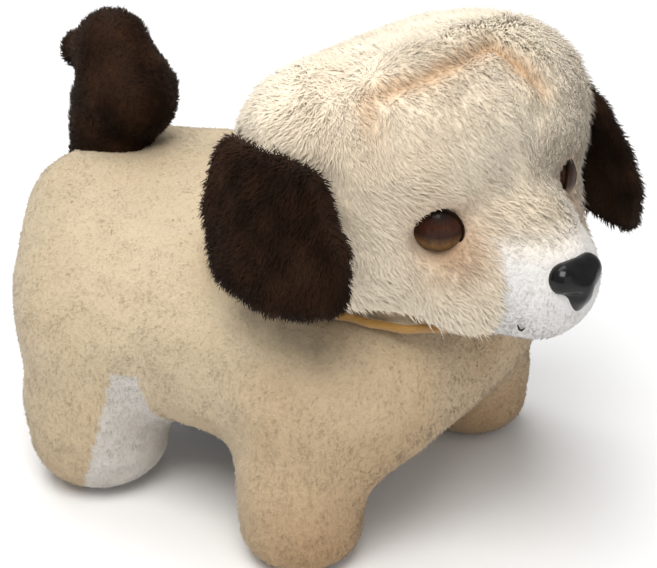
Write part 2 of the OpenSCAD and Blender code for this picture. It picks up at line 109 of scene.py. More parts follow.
def turned(p, angle, pivot):
    """Points turned about the upright axis through pivot."""
    c, s = math.cos(angle), math.sin(angle)
    q = np.asarray(p, float) - pivot
    return np.stack([c * q[..., 0] - s * q[..., 1], s * q[..., 0] + c * q[..., 1], q[..., 2]], -1) + pivot


NECK_AXIS = v3(0, NECK[1], 0)


def head_local(p):
    """World points in the head's own frame: origin on the neck axis, face towards -Y."""
    return turned(p, -YAW, NECK_AXIS) - NECK_AXIS


def off_neck(p):
    """How far points are from the neck axis."""
    return np.hypot(p[:, 0], p[:, 1] - NECK[1])


def head_world(q):
    return turned(np.asarray(q, float) + NECK_AXIS, YAW, NECK_AXIS)


def unit(v):
    return v / np.maximum(np.linalg.norm(v, axis=-1, keepdims=True), 1e-9)


# ---- implicit shapes
def cone(p, a, b, ra, rb):
    """Distance to a rounded cone between two centres."""
    a, b = np.asarray(a, float), np.asarray(b, float)
    ab = b - a
    t = np.clip((p - a) @ ab / max(ab @ ab, 1e-9), 0, 1)
    return np.linalg.norm(p - a - t[:, None] * ab, axis=1) - (ra + (rb - ra) * t)


def ellipsoid(p, c, radii):
    q = (p - np.asarray(c, float)) / np.asarray(radii, float)
    k0 = np.linalg.norm(q, axis=1)
    k1 = np.linalg.norm(q / np.asarray(radii, float), axis=1)
    return k0 * (k0 - 1) / np.maximum(k1, 1e-6)


def join(d1, d2, k):
    """Smooth union with a fillet of about k."""
    h = np.clip(0.5 + 0.5 * (d2 - d1) / k, 0, 1)
    return d2 * (1 - h) + d1 * h - k * h * (1 - h)


def carve(d1, d2, k):
    return -join(-d1, d2, k)


def ramp(x, low, high):
    t = np.clip((x - low) / (high - low), 0, 1)
    return t * t * (3 - 2 * t)


def bump(x, centre, width):
    return np.exp(-(((x - centre) / width) ** 2))


def noise(p, scale, seed, size=24):
    """Smooth value noise in -1..1 with features of about scale mm."""
    lattice = np.random.default_rng(seed).random((size, size, size)) * 2 - 1
    q = np.asarray(p, float) / scale + 1000
    i = np.floor(q).astype(int)
    f = q - i
    f = f * f * (3 - 2 * f)
    total = 0
    for dx in (0, 1):
        wx = f[:, 0] if dx else 1 - f[:, 0]
        for dy in (0, 1):
            wy = f[:, 1] if dy else 1 - f[:, 1]
            for dz in (0, 1):
                wz = f[:, 2] if dz else 1 - f[:, 2]
                corner = lattice[(i[:, 0] + dx) % size, (i[:, 1] + dy) % size, (i[:, 2] + dz) % size]
                total = total + wx * wy * wz * corner
    return total


def gradient(field, p, e=0.15):
    g = np.empty_like(p)
    for axis in range(3):
        step = np.zeros(3)
        step[axis] = e
        g[:, axis] = (field(p + step) - field(p - step)) / (2 * e)
    return g


def shifted(at, axes, steps, cells):
    """Cell numbers moved back by steps along two axes, and whether each is still on the grid."""
    cell = at.copy()
    cell[:, axes] -= steps
    return cell, np.all((cell >= 0) & (cell < np.array(cells)), axis=1)


def surface_net(field, low, high, step):
    """Quads over the zero surface of a field: one vertex in each cell that the surface crosses."""
    axes = [np.arange(low[i], high[i] + step, step) for i in range(3)]
    grid = np.stack(np.meshgrid(*axes, indexing="ij"), -1)
    d = field(grid.reshape(-1, 3)).reshape(grid.shape[:3])
    cells = tuple(n - 1 for n in d.shape)
    total = np.zeros(cells + (3,))
    count = np.zeros(cells)
    crossings = []
    for axis in range(3):
        first = [slice(None)] * 3
        second = [slice(None)] * 3
        first[axis] = slice(0, -1)
        second[axis] = slice(1, None)
        a, b = d[tuple(first)], d[tuple(second)]
        hit = (a < 0) != (b < 0)
        at = np.argwhere(hit)
        ta = a[hit] / (a[hit] - b[hit])
        point = grid[tuple(first)][hit].copy()
        point[:, axis] += ta * step
        others = [i for i in range(3) if i != axis]
        for steps in ((0, 0), (0, 1), (1, 0), (1, 1)):
            cell, ok = shifted(at, others, steps, cells)
            where = tuple(cell[ok].T)
            np.add.at(total, where, point[ok])
            np.add.at(count, where, 1)
        crossings.append((axis, at, a[hit] < 0))
    used = count > 0
    index = np.full(cells, -1)
    index[used] = np.arange(used.sum())
    verts = total[used] / count[used][:, None]
    quads = []
    for axis, at, inside_first in crossings:
        ring = []
        ok = np.ones(len(at), bool)
        for steps in ((0, 0), (1, 0), (1, 1), (0, 1)):
            cell, good = shifted(at, [(axis + 1) % 3, (axis + 2) % 3], steps, cells)
            ok &= good
            ring.append(index[tuple(np.clip(cell, 0, np.array(cells) - 1).T)])
        quad = np.stack(ring, 1)
        quad[inside_first] = quad[inside_first][:, ::-1]
        quads.append(quad[ok][:, ::-1])
    return verts, np.concatenate(quads)


def relaxed(verts, quads, field, rounds=3):
    """Evens out the quads and puts the vertices back on the surface."""
    a = quads.reshape(-1)
    b = np.roll(quads, 1, axis=1).reshape(-1)
    for _ in range(rounds):
        near = np.zeros_like(verts)
        count = np.zeros(len(verts))
        for i, j in ((a, b), (b, a)):
            np.add.at(near, i, verts[j])
            np.add.at(count, i, 1)
        verts = verts + 0.5 * (near / np.maximum(count, 1)[:, None] - verts)
        for _ in range(2):
            g = gradient(field, verts)
            steep = np.maximum((g * g).sum(1), 0.05)
            verts = verts - np.clip(field(verts), -1, 1)[:, None] * g / steep[:, None]
    return verts


class Skin:
    """A mesh in millimetres with a normal for each vertex."""

    def __init__(self, verts, faces):
        self.verts = verts
        self.faces = faces
        self.normals = self.vertex_normals()

    def vertex_normals(self):
        f = self.faces
        v = self.verts
        across = np.cross(v[f[:, 2]] - v[f[:, 0]], v[f[:, 3]] - v[f[:, 1]])
        n = np.zeros_like(self.verts)
        for k in range(4):
            np.add.at(n, f[:, k], across)
        return unit(n)

    def centres(self):
        return self.verts[self.faces].mean(1)

    def moved(self, amount):
        """The same skin, each vertex moved along its normal."""
        return Skin(self.verts + self.normals * np.asarray(amount)[:, None], self.faces)

    def part(self, keep):
        """The faces that keep is true for, with the whole skin's normals."""
        faces = self.faces[keep]
        used = np.unique(faces)
        new = -np.ones(len(self.verts), int)
        new[used] = np.arange(len(used))
        piece = Skin.__new__(Skin)
        piece.verts = self.verts[used]
        piece.faces = new[faces]
        piece.normals = self.normals[used]
        return piece


def skin_of(field, low, high, step):
    verts, quads = surface_net(field, low, high, step)
    return Skin(relaxed(verts, quads, field), quads)


# ---- meshes
def new_mesh(name, verts, loops, sizes, smooth=True):
    """A Blender mesh from arrays: points in mm, corner vertices and corners per face."""
    me = bpy.data.meshes.new(name)
    me.vertices.add(len(verts))
    me.vertices.foreach_set("co", (np.asarray(verts) * TO_M).astype(np.float32).ravel())
    me.loops.add(len(loops))
    me.loops.foreach_set("vertex_index", np.asarray(loops, np.int32))
    starts = np.concatenate([[0], np.cumsum(sizes)[:-1]]).astype(np.int32)
    me.polygons.add(len(sizes))
    me.polygons.foreach_set("loop_start", starts)
    me.polygons.foreach_set("use_smooth", np.full(len(sizes), smooth))
    me.update(calc_edges=True)
    me.validate()
    return me


def new_object(name, data, material=None):
    obj = bpy.data.objects.new(name, data)
    bpy.context.scene.collection.objects.link(obj)
    if material:
        data.materials.append(material)
    return obj


def quad_object(name, verts, faces, material):
    me = new_mesh(name, verts, faces.ravel(), np.full(len(faces), 4))
    return new_object(name, me, material)


def skin_object(name, skin, material, thick=1.2):
    """The skin as closed cloth: the outer face and one thick mm inside it, joined round the edge."""
    n = len(skin.verts)
    inner = skin.verts - skin.normals * thick
    f = skin.faces
    edges = np.concatenate([f[:, [k, (k + 1) % 4]] for k in range(4)])
    key = np.sort(edges, 1)
    order = key[:, 0] * n + key[:, 1]
    _, first, times = np.unique(order, return_index=True, return_counts=True)
    rim = edges[first[times == 1]]
    corners = np.concatenate([rim[:, 1], rim[:, 0], rim[:, 0] + n, rim[:, 1] + n])
    walls = 2 * n + np.arange(len(corners)).reshape(4, -1).T
    faces = np.concatenate([f, f[:, ::-1] + n, walls])
    both = np.concatenate([skin.verts, inner])
    turned_in = np.concatenate([skin.normals, -skin.normals])
    me = new_mesh(name, np.concatenate([both, both[corners]]), faces.ravel(), np.full(len(faces), 4))
    me.normals_split_custom_set_from_vertices(np.concatenate([turned_in, skin.normals[corners % n]]))
    obj = new_object(name, me, material)
    obj["rim"] = [int(i) for i in corners]
    return obj


def set_colours(me, rgb):
    layer = me.color_attributes.new("Pile", "FLOAT_COLOR", "POINT")
    rgba = np.ones((len(me.vertices), 4), np.float32)
    rgba[:, :3] = rgb
    layer.data.foreach_set("color", rgba.ravel())


def sample(skin, per_mm2, density):
    """Seeded random points on a skin, with the skin's normal at each."""
    f = skin.faces
    tris = np.concatenate([f[:, [0, 1, 2]], f[:, [0, 2, 3]]])
    a, b, c = (skin.verts[tris[:, k]] for k in range(3))
    area = np.linalg.norm(np.cross(b - a, c - a), axis=1) / 2
    wanted = area * per_mm2 * density((a + b + c) / 3)
    count = rng.poisson(wanted)
    which = np.repeat(np.arange(len(tris)), count)
    u, w = rng.random(len(which)), rng.random(len(which))
    flip = u + w > 1
    u[flip], w[flip] = 1 - u[flip], 1 - w[flip]
    corner = tris[which]
    weights = np.stack([1 - u - w, u, w], 1)[:, :, None]
    place = (skin.verts[corner] * weights).sum(1)
    normal = unit((skin.normals[corner] * weights).sum(1))
    return place, normal


def always(p):
    return np.ones(len(p))


ROOT_DEPTH = 0.25  # strands start this far below the skin
STRAND = ((0.0, 0.0, 1.0), (0.55, 0.42, 0.8), (1.0, 1.0, 0.0))  # rise, run and width at each ring


def pile(name, skin, material, colour, per_mm2, length, width, lie, lean=0.75, density=always,
         clump=4.0, wild=0.35, softness=0.88, root_shade=0.82, swirling=0.6, uneven=0.05, seed=1):
    """Pile as closed tapered strands that stand on a skin and lean along the lie of the fur."""
    place, normal = sample(skin, per_mm2, density)
    n = len(place)
    flow = lie(place)
    swirl = np.stack([noise(place, clump * 1.6, seed * 31 + k) for k in range(3)], 1)
    jitter = rng.normal(size=(n, 3))
    flow = unit(flow) + swirling * swirl + wild * jitter
    flow = unit(flow - (flow * normal).sum(1)[:, None] * normal)
    long = length(place) * (1 + 0.16 * rng.normal(size=n) + 0.22 * noise(place, clump, seed * 31 + 5))
    long = np.clip(long, 0.4, None)
    slant = np.clip(lean + 0.12 * rng.normal(size=n) + 0.12 * swirl[:, 0], 0.1, 0.96)
    up = np.sqrt(1 - slant * slant)
    thick = width * (1 + 0.2 * rng.normal(size=n))
    side = np.cross(normal, flow)
    verts = np.empty((n, 7, 3))
    normals = np.empty((n, 7, 3))
    colours = np.empty((n, 7, 3))
    base = colour(place) * (1 + uneven * rng.normal(size=n))[:, None]
    row = 0
    for t_up, t_along, w in STRAND:
        middle = place + normal * (long * up * t_up - ROOT_DEPTH)[:, None]
        middle = middle + flow * (long * slant * t_along)[:, None]
        shade = root_shade + (1 - root_shade) * (t_up ** 0.7)
        if w == 0:
            verts[:, row] = middle
            normals[:, row] = unit(normal + 0.35 * flow)
            colours[:, row] = base * (shade * 1.03)
            row += 1
            continue
        for k in range(3):
            angle = 2 * math.pi * k / 3
            out = side * math.cos(angle) + normal * math.sin(angle)
            verts[:, row] = middle + out * (thick * w * 0.58)[:, None]
            normals[:, row] = unit(softness * normal + (1 - softness) * out)
            colours[:, row] = base * shade
            row += 1
    strand = np.arange(n)[:, None] * 7
    ring = [(0, 1, 4, 3), (1, 2, 5, 4), (2, 0, 3, 5)]
    tips = [(3, 4, 6), (4, 5, 6), (5, 3, 6)]
    per = np.array([i for q in ring for i in q] + [i for t in tips for i in t] + [2, 1, 0])
    loops = (strand + per).ravel()
    sizes = np.tile([4, 4, 4, 3, 3, 3, 3], n)
    me = new_mesh(name, verts.reshape(-1, 3), loops, sizes)
    set_colours(me, np.clip(colours.reshape(-1, 3), 0, 1))
    grid_uv(me, n, per)
    me.normals_split_custom_set_from_vertices(normals.reshape(-1, 3))
    return new_object(name, me, material)


def grid_uv(me, n, per):
    """Each strand in its own small cell of a square grid."""
    layer = me.uv_layers.new(name="OFBake")
    across = math.ceil(math.sqrt(max(n, 1)))
    spot = np.array([(0.2, 0.2), (0.5, 0.2), (0.8, 0.2), (0.2, 0.6), (0.5, 0.6), (0.8, 0.6), (0.5, 0.85)])
    cell = np.stack([np.arange(n) % across, np.arange(n) // across], 1)[:, None, :]
    uv = (cell + spot[per][None, :, :]) / across
    layer.data.foreach_set("uv", uv.astype(np.float32).ravel())


# ---- shapes of the coat
def spread_directions(count):
    """Evenly spread unit vectors."""
    i = np.arange(count) + 0.5
    z = 1 - 2 * i / count
    turn = i * math.pi * (3 - math.sqrt(5))
    r = np.sqrt(1 - z * z)
    return np.stack([r * np.cos(turn), r * np.sin(turn), z], 1)


DIRECTIONS = spread_directions(700)


def hull(p, balls):
    """Distance to the tight skin round some balls, each (x, y, z, radius)."""
    balls = np.array(balls, float)
    reach = (DIRECTIONS @ balls[:, :3].T + balls[:, 3]).max(1)
    d = np.empty(len(p))
    for start in range(0, len(p), 40000):
        chunk = p[start:start + 40000]
        d[start:start + 40000] = (chunk @ DIRECTIONS.T - reach).max(1)
    return d


def pair(x, y, z, r):
    return [(-x, y, z, r), (x, y, z, r)]


COAT = 0.8  # the skin stands this far outside the CAD coat
RUMP = HIND_HIP + v3(0, 5, 6.4)
LOIN = (FRONT_HIP + HIND_HIP) / 2 + v3(0, 3.5, 5)
CHEST = FRONT_HIP + v3(0, -1, 4)
HAUNCH = pair(13, RUMP[1] + 18, RUMP[2] + 12.5, 15)
TRUNK = HAUNCH + pair(22, *RUMP[1:], 27) + pair(21, *LOIN[1:], 27) + pair(20, *CHEST[1:], 26)
SEAM_DEPTH = 1.5
DISH_R = 50  # hollow in the back that the head sits over


def rest_swing(side):
    pin = joint_mm("link_left_pin" if side > 0 else "link_right_pin")
    return math.atan2(FRONT_HIP[1] - pin[1], pin[2] - FRONT_HIP[2])


THIGH_X = 35


class Leg:
    """One leg. Side is -1 for the right, edge rounds the foot and fillet blends the leg into the trunk."""

    def __init__(self, name, side, hip, foot_x, foot_r, thigh_r, edge, fillet, set_back):
        self.name, self.side, self.hip = name, side, hip
        self.foot_r, self.thigh_r = foot_r, thigh_r
        self.edge, self.fillet = edge, fillet
        drop = hip[2] - foot_r
        swing = rest_swing(side)
        self.foot = v3(side * foot_x, hip[1] + drop * math.sin(swing) + set_back, foot_r)
        self.thigh = v3(side * THIGH_X, hip[1], hip[2])

    def distance(self, p):
        shank = cone(p, self.thigh, self.foot + v3(0, 0, 3), self.thigh_r, self.foot_r - 0.5)
        q = p - self.foot
        flat = np.maximum(np.hypot(q[:, 0], q[:, 1]) - (self.foot_r - self.edge), 0)
        tall = np.maximum(np.abs(q[:, 2] - 1) - (self.foot_r + 1 - self.edge), 0)
        return join(shank, np.hypot(flat, tall) - self.edge, 3)


LEGS = []
for leg_side, leg_word in ((-1, "right"), (1, "left")):
    LEGS.append(Leg("front_" + leg_word, leg_side, FRONT_HIP, 38.8 + 0.4 * leg_side, 15.2, 17, 9, 11, 0.3))
    LEGS.append(Leg("hind_" + leg_word, leg_side, HIND_HIP, 36.8, 18.6, 20.5, 14, 8, 0))


def rump_seam(p):
    """Groove down the middle of the rump where the two back panels are sewn together."""
    x, y, z = p.T
    return SEAM_DEPTH * bump(x, 0, 4.5) * ramp(y, RUMP[1] - 2, RUMP[1] + 20) * ramp(z, 34, 50)


def body_field(p):
    x, z = p[:, 0], p[:, 2]
    q = p.copy()
    crown = np.clip(np.abs(x) / 22, 0, 1) ** 2
    q[:, 2] += 2.2 * crown * ramp(z, 50, 70)
    d = hull(q, TRUNK) - COAT + rump_seam(p)
    for leg in LEGS:
        d = join(d, leg.distance(p), leg.fillet)
    dish = np.maximum(off_neck(p) - DISH_R, LEDGE_Z + 0.4 - z)
    d = carve(d, dish, 4)
    return np.maximum(d, -z)


SKULL_C = v3(0, -8, 97)  # centre of the hollow skull, in the head's frame
EYE_REACH = 29.6  # seat of the eyes, from the centre of the skull
EYE_RADIUS = 5.7
CRANIUM = pair(23, 8, 103, 19.5) + pair(14.5, -12, 108.3, 20.7) + pair(22, -4, 86, 19)
MUZZLE = [(0, -39.5, 79, 14.5), (0, -20, 82, 17), (0, -21, 96, 12.5)]
CHEEKS = pair(18, -16, 84, 14) + pair(12, -27, 78, 12.5)
EYE_OUT = [unit(head_local(eye) - SKULL_C) for eye in (EYE_R, EYE_L)]
HEAD_FLOOR = LEDGE_Z + 4.6
UNDER_HEAD_R = 35  # radius of the flat under the head
NAPE = pair(13, 12, LEDGE_Z + 12, 17) + pair(13, -6, LEDGE_Z + 12, 17)


def head_field(q):
    """The head's skin, in the head's own frame."""
    d = hull(q, CRANIUM) - 0.4
    d = join(d, hull(q, NAPE), 8)
    d = join(d, hull(q, MUZZLE) - 0.4, 7)
    d = join(d, hull(q, CHEEKS), 8)
    for out in EYE_OUT:
        near, far = SKULL_C + out * (EYE_REACH + 3), SKULL_C + out * 48
        d = carve(d, cone(q, near, far, EYE_RADIUS + 0.3, EYE_RADIUS + 3), 3)
    under = np.maximum(np.hypot(q[:, 0], q[:, 1]) - UNDER_HEAD_R, q[:, 2] - HEAD_FLOOR)
    return carve(d, under, 1.5)


FOLDS = (  # forehead folds as lines in the head's frame
    ((-31, -14, 125), (-19, -20, 127.5), (4, -18, 129)),
    ((4, -18, 129), (9.5, -30, 121)),
    ((-31, -14, 125), (-37, -22, 116)),
)


def from_eye_axis(q, out):
    """How far points are along an eye's axis from the centre of the skull, and how far off it."""
    along = (q - SKULL_C) @ out
    return along, np.linalg.norm(q - SKULL_C - along[:, None] * out, axis=1)


def fold_distance(q):
    d = np.full(len(q), 99.0)
    for line in FOLDS:
        for a, b in zip(line[:-1], line[1:]):
            d = np.minimum(d, cone(q, a, b, 0, 0))
    return d


EAR_DISCS = {  # outline of an ear: y, z and radius of the discs that it wraps
    -1: ((16.5, 102, 6), (-10, 104, 5), (-21.5, 93, 4.5), (-22.5, 85.5, 5), (-6, 82, 6.5), (9, 85, 7.5),
         (15, 94, 7)),
    1: ((12, 105, 6), (-7, 108, 4), (-17, 99.5, 4), (-25, 79, 4.5), (-21, 70.5, 4.5), (-8, 65, 5),
        (11, 78, 7.5)),
}
EAR_TOP = 112.0
EAR_ROUND = 1.7


def ear_plane(y, z):
    """Distance of the ear's middle surface from the centre plane."""
    return 42 + 0.33 * np.clip(EAR_TOP - z, -4, 60) + 1.8 * bump(z, 93, 12) - 0.0045 * (y + 2) ** 2


def ear_field(side):
    discs = np.array(EAR_DISCS[side])
    angle = np.linspace(0, 2 * math.pi, 72, endpoint=False)
    way = np.stack([np.cos(angle), np.sin(angle)], 1)
    reach = (way @ discs[:, :2].T + discs[:, 2]).max(1)

    def field(q):
        flat = (q[:, 1:] @ way.T - reach).max(1) + 2.0
        deep = np.abs(side * q[:, 0] - ear_plane(q[:, 1], q[:, 2])) - 0.3
        outside = np.hypot(np.maximum(flat, 0), np.maximum(deep, 0))
        return outside + np.minimum(np.maximum(flat, deep), 0) - EAR_ROUND

    return field


def leaned(q, angle):
    c, s = math.cos(angle), math.sin(angle)
    return np.stack([c * q[:, 0] + s * q[:, 2], q[:, 1], c * q[:, 2] - s * q[:, 0]], 1)


def tail_local(p):
    """World points in the tail's frame: upright, origin on the wag shaft."""
    return leaned(p - WAG, -TAIL_LEAN)


def tail_world(q):
    return leaned(q, TAIL_LEAN) + WAG


def tail_field(q):
    """A plump comma with its hooked tip pointing backwards."""
    q = q * v3(1.12, 1, 1)
    stem = cone(q, (0, 3.0, 2), (0, 1.2, 30), 10.8, 12.0)
    plump = cone(q, (0, -2.5, 34.5), (0, 2.0, 45.5), 13.8, 10.2)
    hook = cone(q, (0, 4, 44.5), (0, 13.8, 43), 9.0, 4.6)
    return join(stem, join(plump, hook, 2.5), 1.4)


# ---- materials
def linear(code):
    """A colour such as "d8bd96" as linear red, green and blue."""
    c = np.array([int(code[i:i + 2], 16) for i in (0, 2, 4)]) / 255
    return np.where(c <= 0.04045, c / 12.92, ((c + 0.055) / 1.055) ** 2.4)


CREAM = linear("c2b195")
CREAM_HEAD = linear("f7ebd5")
# tan of the coat; in the body it also paints shade low down, at the chest and in the rump seam
TAN_AND_SHADE = linear("ab855a")
# tan of the head, also painting shade in the forehead folds and round the eyes
TAN_HEAD_AND_SHADE = linear("c3986a")
# deep tan of the legs, also painting shade towards the feet
DEEP_TAN_AND_SHADE = linear("8d6841")
WHITE = linear("dad8d6")
LINING_WHITE = linear("c4bfb8")
BROWN = linear("1e1006")
BROWN_TIP = linear("3e281a")
GOLD = linear("a87a2c")


class Shader:
    """A node material under construction."""

    def __init__(self, name, **values):
        self.material = bpy.data.materials.new(name)
        self.material.use_nodes = True
        self.nodes = self.material.node_tree.nodes
        self.links = self.material.node_tree.links
        self.bsdf = self.nodes["Principled BSDF"]
        self.put(self.bsdf, **values)

    def put(self, node, **values):
        """Sets a node's inputs by name, such as mortar_size for its Mortar Size."""
        for key, value in values.items():
            node.inputs[key.replace("_", " ").title().replace("Ior", "IOR")].default_value = value

    def add(self, kind, **settings):
        node = self.nodes.new(kind)
        for key, value in settings.items():
            setattr(node, key, value)
        return node

    def coordinates(self, stretch=(1, 1, 1)):
        place = self.add("ShaderNodeTexCoord")
        mapping = self.add("ShaderNodeMapping")
        self.put(mapping, scale=stretch)
        self.links.new(place.outputs["Object"], mapping.inputs["Vector"])
        return mapping.outputs["Vector"]

    def texture(self, node, vector, **values):
        self.put(node, **values)
        self.links.new(vector, node.inputs["Vector"])
        return node.outputs["Fac"]

    def noise(self, vector, per_metre, detail=3.0, roughness=0.5):
        node = self.add("ShaderNodeTexNoise")
        return self.texture(node, vector, scale=per_metre, detail=detail, roughness=roughness)

    def local_y(self, vector):
        split = self.add("ShaderNodeSeparateXYZ")
        self.links.new(vector, split.inputs[0])
        return split.outputs["Y"]

    def mapped(self, value, **limits):
        node = self.add("ShaderNodeMapRange")
        self.put(node, **limits)
        self.links.new(value, node.inputs["Value"])
        return node.outputs["Result"]

    def ramp(self, fac, *stops):
        node = self.add("ShaderNodeValToRGB")
        while len(node.color_ramp.elements) < len(stops):
            node.color_ramp.elements.new(0.5)
        for element, (at, colour) in zip(node.color_ramp.elements, stops):
            element.position = at
            element.color = (*colour, 1) if len(colour) == 3 else colour
        self.links.new(fac, node.inputs["Fac"])
        return node.outputs["Color"]

    def mix(self, fac, a, b, how="MIX"):
        node = self.add("ShaderNodeMix", data_type="RGBA", blend_type=how)
        for value, socket in ((fac, node.inputs["Factor"]), (a, node.inputs[6]), (b, node.inputs[7])):
            if isinstance(value, (int, float)):
                socket.default_value = value
            elif isinstance(value, (tuple, list, np.ndarray)):
                socket.default_value = (*value, 1)
            else:
                self.links.new(value, socket)
        return node.outputs[2]

    def colour(self, output):
        self.links.new(output, self.bsdf.inputs["Base Color"])

    def bump(self, height, depth_mm):
        node = self.add("ShaderNodeBump")
        self.put(node, strength=1.0, distance=depth_mm * TO_M)
        self.links.new(height, node.inputs["Height"])
        self.links.new(node.outputs["Normal"], self.bsdf.inputs["Normal"])

    def rough(self, fac, low, high):
        self.links.new(self.mapped(fac, to_min=low, to_max=high), self.bsdf.inputs["Roughness"])


def grey(v):
    return (v, v, v)


def plush(name, sheen, tint, grain=900.0, contrast=0.12, depth=0.25, roughness=0.85):
    """Pile or its backing: painted colour, finer speckle and a nap that scatters light."""
    s = Shader(name, roughness=roughness, sheen_weight=sheen, sheen_roughness=0.45, sheen_tint=(*tint, 1),
               specular_ior_level=0.08)
    paint = s.add("ShaderNodeAttribute", attribute_name="Pile").outputs["Color"]
    where = s.coordinates()
    fine = s.noise(where, grain, 4.0, 0.65)
    broad = s.noise(where, 60.0, 3.0)
    speckle = s.ramp(fine, (0.25, grey(1 - contrast)), (0.75, grey(1 + contrast)))
    patch = s.ramp(broad, (0.3, (0.95, 0.94, 0.92)), (0.7, (1.03, 1.03, 1.04)))
    s.colour(s.mix(1.0, s.mix(1.0, paint, speckle, "MULTIPLY"), patch, "MULTIPLY"))
    s.bump(fine, depth)
    return s.material


def moulded(name, code, roughness=0.42, grain=1400.0, depth=0.03, **values):
    """Moulded plastic: faint colour drift, fine spark-eroded texture and uneven gloss."""
    s = Shader(name, roughness=roughness, **values)
    base = linear(code)
    where = s.coordinates()
    drift = s.noise(where, 45.0, 2.0)
    fine = s.noise(where, grain, 3.0, 0.6)
    s.colour(s.ramp(drift, (0.3, base * 0.92), (0.7, np.clip(base * 1.08, 0, 1))))
    s.rough(fine, roughness - 0.08, roughness + 0.1)
    s.bump(fine, depth)
    return s.material


def metal(name, code, roughness=0.3, stretch=(1, 1, 12)):
    """Turned or drawn metal with fine lines along one direction."""
    s = Shader(name, metallic=1.0, roughness=roughness)
    base = linear(code)
    lines = s.noise(s.coordinates(stretch), 500.0, 2.0)
    s.colour(s.ramp(lines, (0.3, base * 0.85), (0.7, np.clip(base * 1.08, 0, 1))))
    s.rough(lines, roughness - 0.08, roughness + 0.12)
    s.bump(lines, 0.01)
    return s.material


def cell_wrap():
    """Printed sleeve of a dry cell: two plain bands and a soft gloss."""
    s = Shader("cell_sleeve", roughness=0.3, coat_weight=0.4)
    where = s.coordinates()
    repeat = 0.012
    band = s.add("ShaderNodeMath", operation="PINGPONG")
    band.inputs[1].default_value = repeat
    s.links.new(s.local_y(where), band.inputs[0])
    along = s.mapped(band.outputs[0], from_max=repeat)
    s.colour(s.ramp(along, (0.55, linear("2a5a8c")), (0.6, linear("c9cdd2"))))
    s.bump(s.noise(where, 900.0), 0.01)
    return s.material


def solder_mask():
    """Green lacquer over copper tracks."""
    s = Shader("board_lacquer", roughness=0.35)
    brick = s.add("ShaderNodeTexBrick")
    tracks = s.texture(brick, s.coordinates((1, 1, 3)), scale=260.0, mortar_size=0.06)
    s.colour(s.ramp(tracks, (0.4, linear("1f6a3c")), (0.6, linear("2f8650"))))
    s.bump(tracks, 0.03)
    return s.material


def ribbon_weave():
    """Satin ribbon: fine ribs across its width."""
    s = Shader("ribbon_satin", roughness=0.38, sheen_weight=0.4)
    where = s.coordinates((1, 1, 5))
    wave = s.add("ShaderNodeTexWave", wave_type="BANDS", bands_direction="DIAGONAL")
    ribs = s.texture(wave, where, scale=420.0)
    drift = s.noise(where, 90.0)
    base = s.ramp(drift, (0.3, GOLD * 0.8), (0.7, GOLD * 1.15))
    s.colour(s.mix(0.25, base, s.ramp(ribs, (0.2, GOLD * 0.55), (0.8, GOLD * 1.3))))
    s.bump(ribs, 0.06)
    return s.material


def eye_glass():
    """Amber eye under a clear hard coat: a streaked brown iris, with painted light in its lower half and
    painted shade, nearly black, across its top under the overhanging fur.
    """
    s = Shader("eye_amber", roughness=0.45, coat_weight=0.12, coat_roughness=0.06, specular_ior_level=0.12)
    edge = EYE_RADIUS * TO_M
    height = s.mapped(s.local_y(s.coordinates()), from_min=-edge, from_max=edge)
    # painted light low in the eye and painted shade, nearly black, at its top
    shade = s.ramp(height, (0.06, linear("4a3018")), (0.3, linear("6b4d2e")),
                   (0.52, linear("2c1408")), (0.72, linear("3a1c0c")), (0.95, linear("180a04")))
    streak = s.noise(s.coordinates((1, 0.25, 1)), 1500.0, 3.0, 0.7)
    s.colour(s.mix(1.0, shade, s.ramp(streak, (0.3, grey(0.55)), (0.75, grey(1.5))), "MULTIPLY"))
    s.bump(streak, 0.02)
    return s.material


def nose_gloss():
    s = Shader("nose_gloss", roughness=0.24, coat_weight=0.2, coat_roughness=0.05, specular_ior_level=0.22)
    soft = s.noise(s.coordinates(), 500.0, 3.0)
    s.colour(s.ramp(soft, (0.3, linear("080707")), (0.7, linear("141213"))))
    s.rough(soft, 0.14, 0.32)
    s.bump(soft, 0.05)
    return s.material


def pale_floor():
    s = Shader("pale_floor", roughness=0.85)
    s.colour(s.ramp(s.noise(s.coordinates(), 4.0), (0.3, grey(0.84)), (0.7, grey(0.87))))
    return s.material


# ---- making
def ride_like(obj, rule):
    """Rule is the name of a body, which the piece is attached to, or (body, body, start, end) for cloth
    between two bodies; for that the bodies and heights are not used and the piece's place is only baked
    into its mesh.
    """
    if isinstance(rule, str):
        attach(obj, rule)
    else:
        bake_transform(obj)
    return obj


def mixed(a, b, t):
    t = np.clip(t, 0, 1)[:, None]
    return a * (1 - t) + b * t


PLUSH_SKIN = plush("plush_backing", 0.15, (1, 0.95, 0.88), 1100.0, 0.1, 0.35)
PLUSH_PILE = plush("plush_pile", 0.3, (1, 0.96, 0.9), 700.0, 0.06, 0.05, 0.8)
BROWN_SKIN = plush("brown_backing", 0.1, (0.6, 0.45, 0.35), 1100.0, 0.25, 0.4)
BROWN_PILE = plush("brown_pile", 0.08, (0.75, 0.6, 0.5), 800.0, 0.2, 0.05, 0.6)


def padded_skin(name, skin, material, colour, rule, replaced=()):
    obj = skin_object(name, skin, material)
    rgb = colour(skin.verts)
    both = np.concatenate([rgb, rgb])
    set_colours(obj.data, np.concatenate([both, both[np.array(obj["rim"], int)]]))
    del obj["rim"]
    ride_like(obj, rule)
    if replaced:
        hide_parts(*replaced)
    return obj


def even(value):
    """A pile length that is the same everywhere."""
    return lambda p: np.full(len(p), value)


def pile_piece(name, skin, material, colour, rule, slot, **how):
    obj = pile(name, skin, material, colour, **how)
    ride_like(obj, rule)
    return obj


